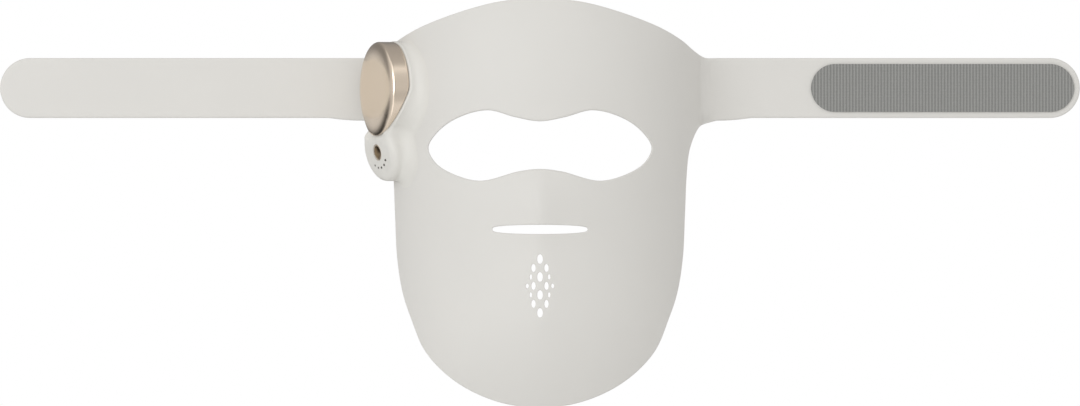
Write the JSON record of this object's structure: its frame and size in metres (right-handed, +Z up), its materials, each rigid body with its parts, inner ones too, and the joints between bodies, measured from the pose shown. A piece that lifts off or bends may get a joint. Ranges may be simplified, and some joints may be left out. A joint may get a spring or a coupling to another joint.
{
  "type": "led face mask",
  "caption": "Soft curved face mask with a joined eye opening, breathing slit, chin vents, two hook-and-loop head straps and a round control unit on one temple.",
  "frame": {"origin": "on the centre line, at eye level, in the flat front plane of the straps, where the wearer's head carries the mask", "axes": "+X to the viewer's right along the straps, +Z up, the front of the mask faces -Y and the wearer's face enters from +Y"},
  "size_m": [0.648, 0.0998, 0.2424],
  "materials": {
    "ivory_silicone": "matt soft silicone, opaque",
    "clear_silicone": "translucent satin silicone",
    "board_white": "white solder resist on board",
    "amber_film": "polyimide film",
    "grey_hook": "fine woven hook tape",
    "pale_loop": "soft loop tape",
    "ivory_plastic": "fine matt moulded plastic",
    "champagne_metal": "satin champagne anodised",
    "dark_plastic": "matt black plastic",
    "smoke_plastic": "smoked light guide",
    "bare_steel": "plated magnet",
    "battery_film": "shrink film"
  },
  "bodies": {
    "mask": {"mask_outer_shell": "ivory_silicone", "inner_liner": "clear_silicone", "led_flex_board": "board_white", "led_flex_tail": "amber_film", "base_housing": "ivory_plastic", "lobe_back_cover": "ivory_plastic", "base_contact_plate": "dark_plastic", "base_magnet_rear": "bare_steel", "base_magnet_front": "bare_steel", "switch_board": "board_white", "tact_switch": "dark_plastic", "light_guide": "smoke_plastic"},
    "right_inner": {"right_strap_inner": "ivory_silicone"},
    "right_tail": {"right_strap_tail": "ivory_silicone", "hook_pad": "grey_hook"},
    "left_inner": {"left_strap_inner": "ivory_silicone"},
    "left_tail": {"left_strap_tail": "ivory_silicone", "loop_pad": "pale_loop"},
    "control_unit": {"unit_housing": "champagne_metal", "unit_back_cover": "dark_plastic", "unit_main_board": "board_white", "unit_battery": "battery_film", "unit_contact_block": "dark_plastic", "unit_magnet_rear": "bare_steel", "unit_magnet_front": "bare_steel"},
    "button": {"power_button": "champagne_metal"}
  },
  "joints": [
    {"name": "right_strap_root", "type": "hinge", "parent": "mask", "child": "right_inner", "pos_m": [0.10615, 0.003, 0.036], "axis": [0, 0, 1], "range_deg": [0, 90], "stiffness_Nm_per_rad": 0.01},
    {"name": "right_strap_fold", "type": "hinge", "parent": "right_inner", "child": "right_tail", "pos_m": [0.153, 0.003, 0.036], "axis": [0, 0, 1], "range_deg": [0, 90], "stiffness_Nm_per_rad": 0.01},
    {"name": "left_strap_root", "type": "hinge", "parent": "mask", "child": "left_inner", "pos_m": [-0.10615, 0.003, 0.036], "axis": [0, 0, -1], "range_deg": [0, 90], "stiffness_Nm_per_rad": 0.01},
    {"name": "left_strap_fold", "type": "hinge", "parent": "left_inner", "child": "left_tail", "pos_m": [-0.1591, 0.003, 0.036], "axis": [0, 0, -1], "range_deg": [0, 90], "stiffness_Nm_per_rad": 0.01},
    {"name": "unit_release", "type": "slide", "parent": "mask", "child": "control_unit", "axis": [-0.9272, -0.3746, 0], "range_m": [0, 0.03]},
    {"name": "power_button_press", "type": "slide", "parent": "mask", "child": "button", "axis": [0.8613, 0.4774, 0.1736], "range_m": [0, 0.0008], "stiffness_N_per_m": 500}
  ]
}
